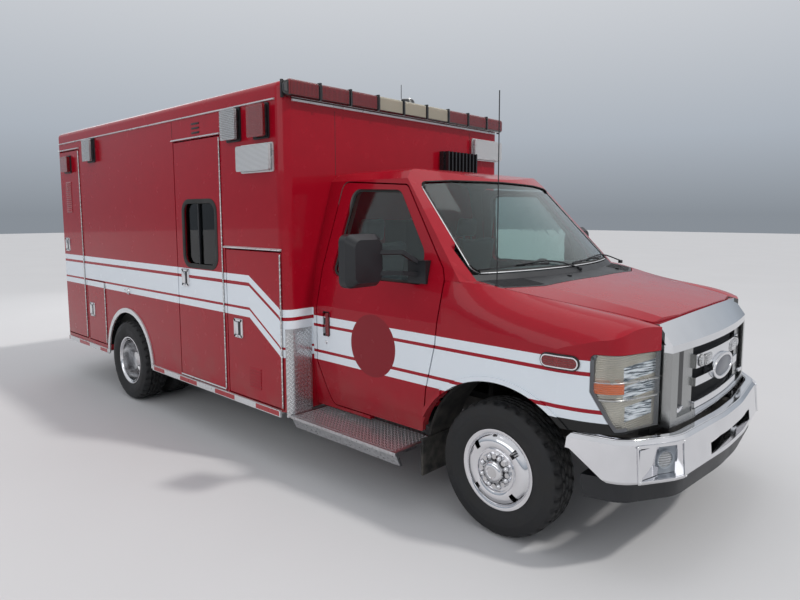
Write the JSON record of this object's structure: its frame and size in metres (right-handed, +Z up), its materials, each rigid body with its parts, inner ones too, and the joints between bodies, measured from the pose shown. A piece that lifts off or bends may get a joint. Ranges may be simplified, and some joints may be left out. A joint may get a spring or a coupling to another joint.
{
  "type": "box-body ambulance on a cutaway van chassis",
  "caption": "Red box-body ambulance with a van cab, opening cab, entry, compartment and rear doors, hood, steered front wheels and twin rear wheels",
  "frame": {"origin": "on the ground, midway between the front bumper's face and the rear step, in the middle across", "axes": "+X forward, +Y to the driver's side, +Z up"},
  "size_m": [6.779, 2.818, 2.912],
  "materials": {
    "red_paint": "gloss",
    "white_trim": "gloss",
    "black_plastic": "satin",
    "grey_plastic": "satin",
    "interior": "satin",
    "seat_vinyl": "matt",
    "chrome": "polished",
    "polished_steel": "polished",
    "tread_plate": "bright",
    "aluminium": "satin",
    "chassis_black": "satin",
    "cast": "rough",
    "glass": "clear",
    "dark_glass": "tinted",
    "lamp": "clear",
    "beacon": "clear",
    "rubber": "matt",
    "tyre": "matt"
  },
  "bodies": {
    "root": {"module_floor": "aluminium", "module_sides": "red_paint", "module_ends": "red_paint", "module_roof": "red_paint", "fenders": "red_paint", "headlamps": "lamp", "cab_roof": "red_paint", "cab_frame": "red_paint", "windshield": "glass", "cowl": "black_plastic", "grille": "grey_plastic", "radiator": "chassis_black", "front_bumper": "chrome", "bumper_valance": "grey_plastic", "dashboard": "interior", "cab_seats": "seat_vinyl", "chassis_frame": "chassis_black", "engine_block": "cast", "axles": "chassis_black", "driveline": "chassis_black", "patient_interior": "interior", "light_bar": "beacon", "module_lamps": "lamp", "bright_trim": "white_trim", "tread_plate": "tread_plate", "splash_guards": "rubber", "antennas": "black_plastic"},
    "side_entry_door": {"side_entry_door": "red_paint", "side_entry_glass": "dark_glass"},
    "curb_front_door": {"curb_front_door": "red_paint"},
    "curb_low_door": {"curb_low_door": "red_paint"},
    "curb_rear_door": {"curb_rear_door": "red_paint"},
    "street_front_door": {"street_front_door": "red_paint"},
    "street_rear_door": {"street_rear_door": "red_paint"},
    "rear_door_right": {"rear_door_right": "red_paint", "rear_glass_right": "dark_glass"},
    "cab_door_right": {"cab_door_right": "red_paint", "cab_glass_right": "glass", "mirror_right": "black_plastic"},
    "knuckle_right": {"knuckle_right": "cast"},
    "wheel_front_right": {"tyre_front_right": "tyre", "rim_front_right": "polished_steel"},
    "wheels_rear_right": {"tyres_rear_right": "tyre", "rims_rear_right": "polished_steel"},
    "rear_door_left": {"rear_door_left": "red_paint", "rear_glass_left": "dark_glass"},
    "cab_door_left": {"cab_door_left": "red_paint", "cab_glass_left": "glass", "mirror_left": "black_plastic"},
    "knuckle_left": {"knuckle_left": "cast"},
    "wheel_front_left": {"tyre_front_left": "tyre", "rim_front_left": "polished_steel"},
    "wheels_rear_left": {"tyres_rear_left": "tyre", "rims_rear_left": "polished_steel"},
    "hood": {"hood": "red_paint"},
    "steering_wheel": {"steering_wheel": "black_plastic"}
  },
  "joints": [
    {"name": "side_entry_door_swing", "type": "hinge", "parent": "root", "child": "side_entry_door", "pos_m": [0.158, -1.225, 1.3675], "axis": [0, 0, 1], "range_deg": [0, 90]},
    {"name": "curb_front_door_swing", "type": "hinge", "parent": "root", "child": "curb_front_door", "pos_m": [0.876, -1.225, 0.955], "axis": [0, 0, 1], "range_deg": [0, 90]},
    {"name": "curb_low_door_swing", "type": "hinge", "parent": "root", "child": "curb_low_door", "pos_m": [-2.077, -1.225, 0.76], "axis": [0, 0, 1], "range_deg": [0, 90]},
    {"name": "curb_rear_door_swing", "type": "hinge", "parent": "root", "child": "curb_rear_door", "pos_m": [-2.579, -1.225, 1.4275], "axis": [0, 0, 1], "range_deg": [0, 90]},
    {"name": "street_front_door_swing", "type": "hinge", "parent": "root", "child": "street_front_door", "pos_m": [0.856, 1.225, 1.3675], "axis": [0, 0, -1], "range_deg": [0, 90]},
    {"name": "street_rear_door_swing", "type": "hinge", "parent": "root", "child": "street_rear_door", "pos_m": [-2.579, 1.225, 1.3825], "axis": [0, 0, -1], "range_deg": [0, 90]},
    {"name": "rear_door_right_swing", "type": "hinge", "parent": "root", "child": "rear_door_right", "pos_m": [-3.1955, -0.6055, 1.591], "axis": [0, 0, 1], "range_deg": [0, 150]},
    {"name": "cab_door_right_swing", "type": "hinge", "parent": "root", "child": "cab_door_right", "pos_m": [2.082, -1.002, 1.2], "axis": [0, 0, 1], "range_deg": [0, 68]},
    {"name": "steer_right", "type": "hinge", "parent": "root", "child": "knuckle_right", "pos_m": [2.4605, -0.745, 0.372], "axis": [0, 0, 1], "range_deg": [-30, 30]},
    {"name": "wheel_front_right_spin", "type": "hinge", "parent": "knuckle_right", "child": "wheel_front_right", "pos_m": [2.4605, -0.8815, 0.372], "axis": [0, 1, 0], "continuous": true},
    {"name": "wheels_rear_right_spin", "type": "hinge", "parent": "root", "child": "wheels_rear_right", "pos_m": [-1.5525, -0.989, 0.372], "axis": [0, 1, 0], "continuous": true},
    {"name": "rear_door_left_swing", "type": "hinge", "parent": "root", "child": "rear_door_left", "pos_m": [-3.1955, 0.6055, 1.591], "axis": [0, 0, -1], "range_deg": [0, 150]},
    {"name": "cab_door_left_swing", "type": "hinge", "parent": "root", "child": "cab_door_left", "pos_m": [2.082, 1.002, 1.2], "axis": [0, 0, -1], "range_deg": [0, 68]},
    {"name": "steer_left", "type": "hinge", "parent": "root", "child": "knuckle_left", "pos_m": [2.4605, 0.745, 0.372], "axis": [0, 0, 1], "range_deg": [-30, 30]},
    {"name": "wheel_front_left_spin", "type": "hinge", "parent": "knuckle_left", "child": "wheel_front_left", "pos_m": [2.4605, 0.8815, 0.372], "axis": [0, 1, 0], "continuous": true},
    {"name": "wheels_rear_left_spin", "type": "hinge", "parent": "root", "child": "wheels_rear_left", "pos_m": [-1.5525, 0.989, 0.372], "axis": [0, 1, 0], "continuous": true},
    {"name": "hood_lift", "type": "hinge", "parent": "root", "child": "hood", "pos_m": [2.3855, 0, 1.35], "axis": [0, -1, 0], "range_deg": [0, 50]},
    {"name": "steering_wheel_turn", "type": "hinge", "parent": "root", "child": "steering_wheel", "pos_m": [1.7805, 0.47, 1.235], "axis": [-0.8829, 0, 0.4695], "range_deg": [-480, 480]}
  ],
  "couplings": [
    {"joint": "steer_left", "follows": "steer_right", "ratio": 1},
    {"joint": "steering_wheel_turn", "follows": "steer_right", "ratio": 15}
  ]
}
